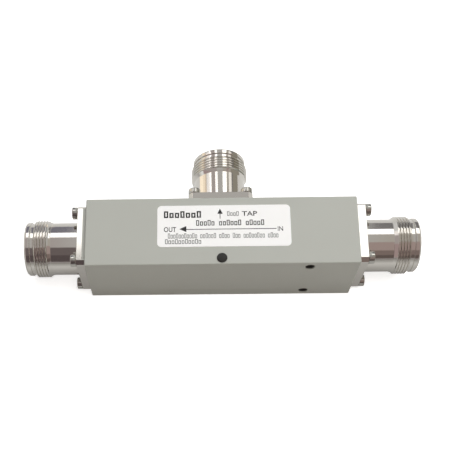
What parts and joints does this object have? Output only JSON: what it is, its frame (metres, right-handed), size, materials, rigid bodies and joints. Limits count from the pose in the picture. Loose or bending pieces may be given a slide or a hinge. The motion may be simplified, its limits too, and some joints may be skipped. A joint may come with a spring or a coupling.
{
  "type": "coaxial power tapper",
  "caption": "Square painted bar with a threaded coaxial jack on each end and a tap jack on one side; passes a radio line through and takes a small share of its power.",
  "frame": {"origin": "centre of the bar's flat back face, the face it rests on", "axes": "+X along the bar towards the input jack, +Y towards the tap jack, +Z towards the label face"},
  "size_m": [0.138, 0.0474, 0.0259],
  "materials": {
    "painted_bar": "satin sprayed paint on machined aluminium",
    "label_film": "printed self-adhesive film",
    "black_plastic": "black moulded polyamide",
    "plated_shell": "bright white bronze plating on turned brass",
    "screw_steel": "turned stainless steel",
    "contact_plating": "silver plating on turned brass",
    "white_plastic": "turned fluoropolymer",
    "seal_rubber": "moulded silicone rubber",
    "rod_brass": "turned brass"
  },
  "bodies": {
    "root": {"housing": "painted_bar", "label": "label_film", "hole_plug": "black_plastic", "input_shell": "plated_shell", "output_shell": "plated_shell", "tap_shell": "plated_shell", "input_screws": "screw_steel", "output_screws": "screw_steel", "tap_screws": "screw_steel", "input_contact": "contact_plating", "output_contact": "contact_plating", "tap_contact": "contact_plating", "input_insulator": "white_plastic", "output_insulator": "white_plastic", "tap_insulator": "white_plastic", "input_seal": "seal_rubber", "output_seal": "seal_rubber", "tap_seal": "seal_rubber", "line_conductor": "rod_brass", "tap_conductor": "rod_brass", "input_support": "white_plastic", "output_support": "white_plastic"}
  },
  "joints": []
}
